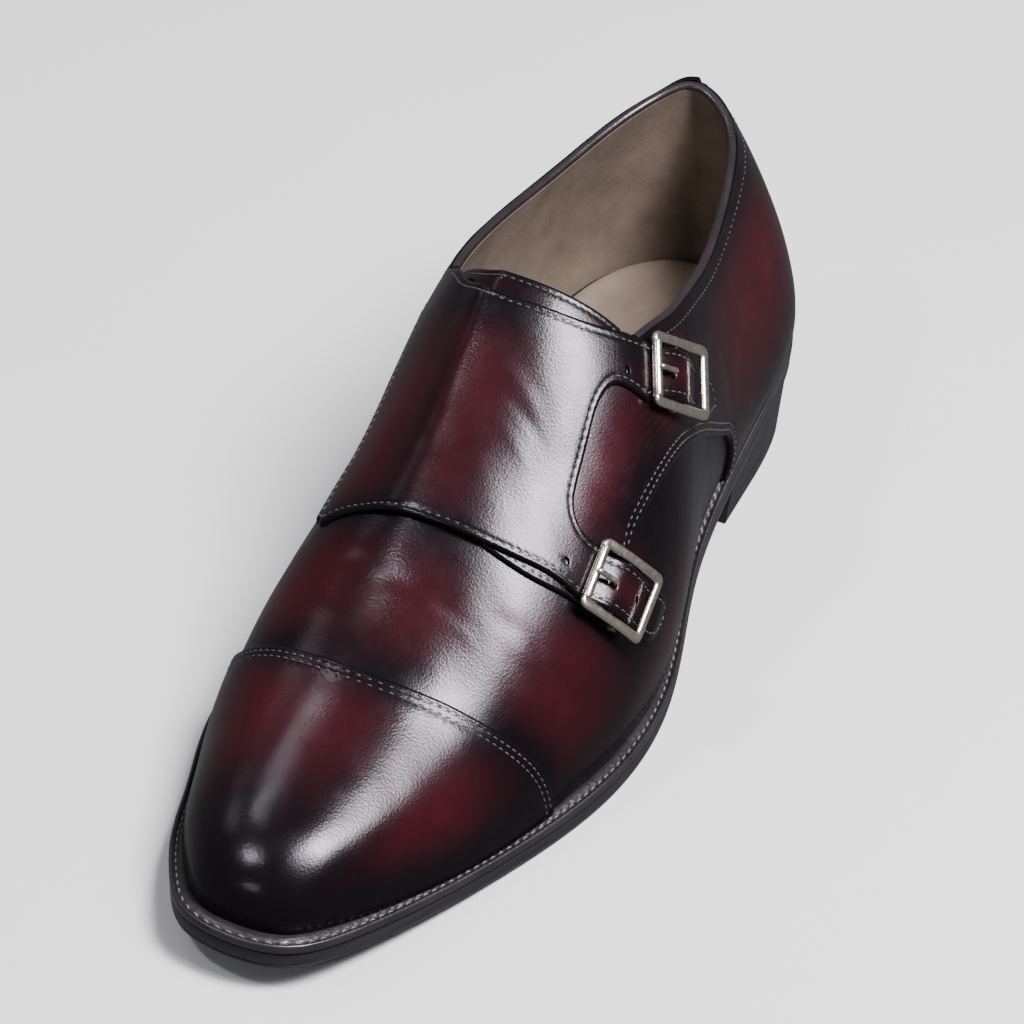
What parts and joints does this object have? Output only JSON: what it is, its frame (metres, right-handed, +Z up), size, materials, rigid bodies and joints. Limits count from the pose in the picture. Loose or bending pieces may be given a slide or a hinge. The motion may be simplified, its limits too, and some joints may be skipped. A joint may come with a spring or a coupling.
{
  "type": "monk strap shoe",
  "caption": "Left double monk strap dress shoe with a toe cap, buckled side straps, a welted leather sole and a stacked heel.",
  "frame": {"origin": "on the floor under the heel, 40 mm in front of the back of the foot's last", "axes": "+Y from the heel to the toe, +X to the medial side, -X to the lateral side with the buckles, +Z up from the floor"},
  "size_m": [0.1091, 0.305, 0.1071],
  "materials": {
    "burgundy_leather": "polished, hand burnished to black along seams, toe and heel",
    "taupe_lining": "plain matt lining leather",
    "black_welt": "waxed black with a row of pale stitches",
    "charcoal_sole": "stained and waxed sole leather",
    "charcoal_heel": "stained and waxed heel leather",
    "champagne_silver": "satin plated buckle metal with a warm tone"
  },
  "bodies": {
    "root": {"upper": "burgundy_leather", "toe_cap": "burgundy_leather", "medial_quarter": "burgundy_leather", "lateral_quarter": "burgundy_leather", "tongue": "burgundy_leather", "insole": "taupe_lining", "welt": "black_welt", "outsole": "charcoal_sole", "heel_stack": "charcoal_heel", "heel_top_piece": "charcoal_heel", "buckle_frame_upper": "champagne_silver", "buckle_frame_lower": "champagne_silver", "buckle_prong_upper": "champagne_silver", "buckle_prong_lower": "champagne_silver"}
  },
  "joints": []
}
